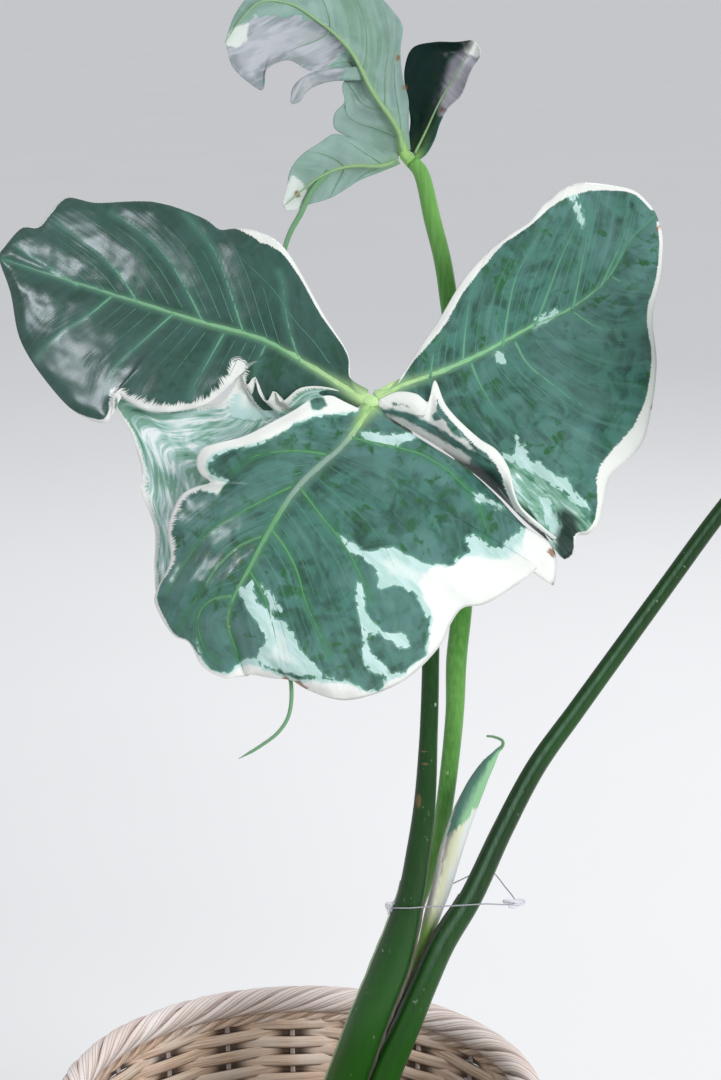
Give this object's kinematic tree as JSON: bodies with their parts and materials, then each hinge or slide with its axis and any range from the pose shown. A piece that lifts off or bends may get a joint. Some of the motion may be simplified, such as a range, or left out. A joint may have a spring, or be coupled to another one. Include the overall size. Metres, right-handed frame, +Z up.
{
  "type": "potted variegated xanthosoma",
  "caption": "Variegated xanthosoma house plant with pouched, tailed leaves on long stalks and a rolled new leaf, in a plastic growing pot set inside a round woven basket.",
  "frame": {"origin": "centre of the basket's flat underside", "axes": "+Z up along the plant; +Y away from the viewer; +X towards the leaf on the long leaning stalk"},
  "size_m": [0.4982, 0.3061, 0.7891],
  "materials": {
    "basket_weave": "dry matt woven rush, darker brown in the gaps",
    "basket_plait": "dry matt plaited rush, pale pinkish beige",
    "pot_plastic": "moulded black plastic, satin",
    "potting_soil": "moist crumbly peat mix",
    "plant_crown": "fibrous, ringed with dry leaf scars",
    "leaf_stalk": "smooth waxy green",
    "pale_leaf_stalk": "smooth waxy light green",
    "rolled_new_leaf": "smooth, cream white below and pale green above",
    "leaf_blade": "satin blue-green with white and pale green patches, white margin and pale veins",
    "leaf_underside": "matt grey-green with a bright yellow-green rib",
    "tie_thread": "fine pale twisted thread"
  },
  "bodies": {
    "root": {"basket_wall": "basket_weave", "basket_rim": "basket_plait", "growing_pot": "pot_plastic", "soil": "potting_soil", "crown": "plant_crown", "stalk_front": "leaf_stalk", "stalk_side": "leaf_stalk", "stalk_back": "pale_leaf_stalk", "new_leaf": "rolled_new_leaf", "leaf_front": "leaf_blade", "leaf_side": "leaf_blade", "leaf_back": "leaf_underside", "tie_thread": "tie_thread"}
  },
  "joints": []
}
